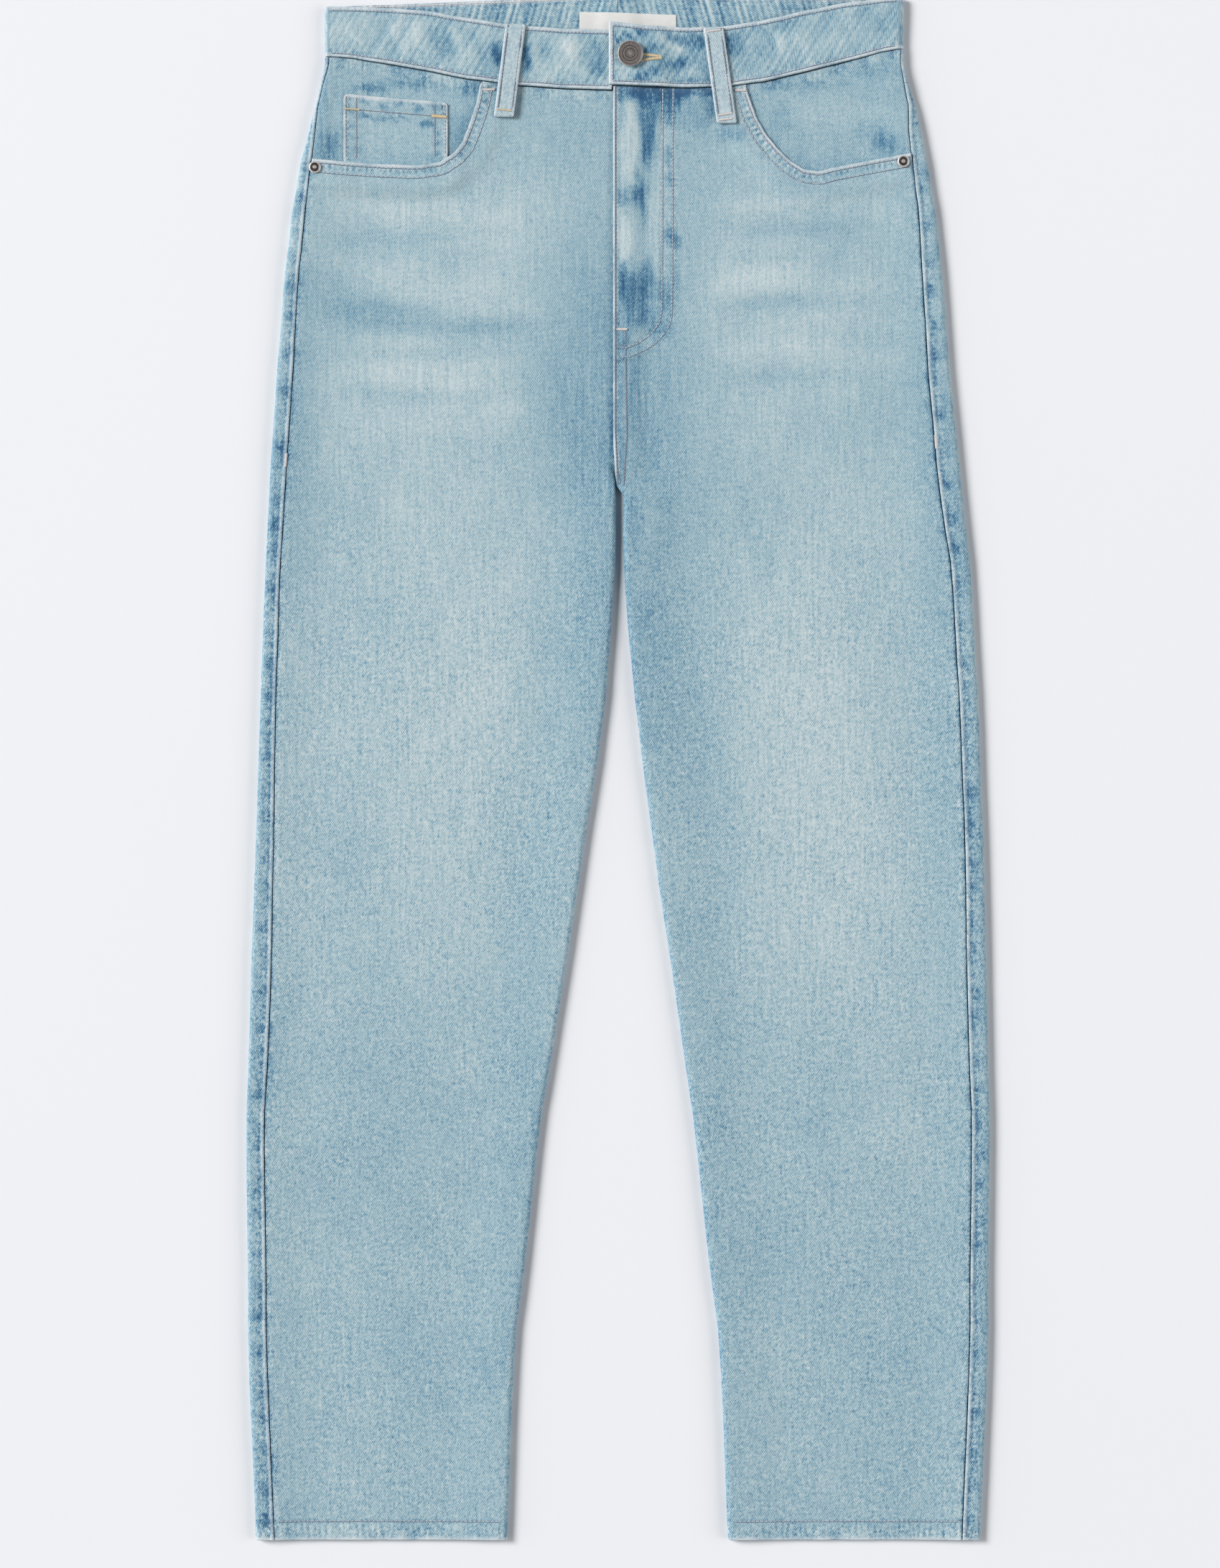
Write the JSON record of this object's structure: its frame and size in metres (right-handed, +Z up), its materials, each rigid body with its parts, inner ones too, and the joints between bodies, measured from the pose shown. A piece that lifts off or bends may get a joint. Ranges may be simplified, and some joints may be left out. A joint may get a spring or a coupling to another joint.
{
  "type": "barrel-leg jeans",
  "caption": "High-waisted barrel-leg denim jeans laid flat on their back, buttoned, with curved front pockets, a coin pocket and belt loops.",
  "frame": {"origin": "on the surface that the jeans lie on, at the middle of their width and length", "axes": "+X to the wearer's left, +Y from the hems to the waist, +Z up from the surface, out of the front of the jeans"},
  "size_m": [0.4916, 1.023, 0.0127],
  "materials": {
    "denim": "light-washed blue cotton twill",
    "label_cloth": "plain off-white woven label",
    "metal": "antiqued dark grey"
  },
  "bodies": {
    "root": {"front_panel_right": "denim", "front_panel_left": "denim", "back_panel_right": "denim", "back_panel_left": "denim", "yoke_right": "denim", "yoke_left": "denim", "waistband_right": "denim", "waistband_left": "denim", "pocket_facing_right": "denim", "pocket_facing_left": "denim", "coin_pocket": "denim", "back_pocket_right": "denim", "back_pocket_left": "denim", "belt_loop_front_right": "denim", "belt_loop_front_left": "denim", "belt_loop_back_right": "denim", "belt_loop_back_centre": "denim", "belt_loop_back_left": "denim", "label": "label_cloth", "button": "metal", "rivet_right": "metal", "rivet_left": "metal"}
  },
  "joints": []
}
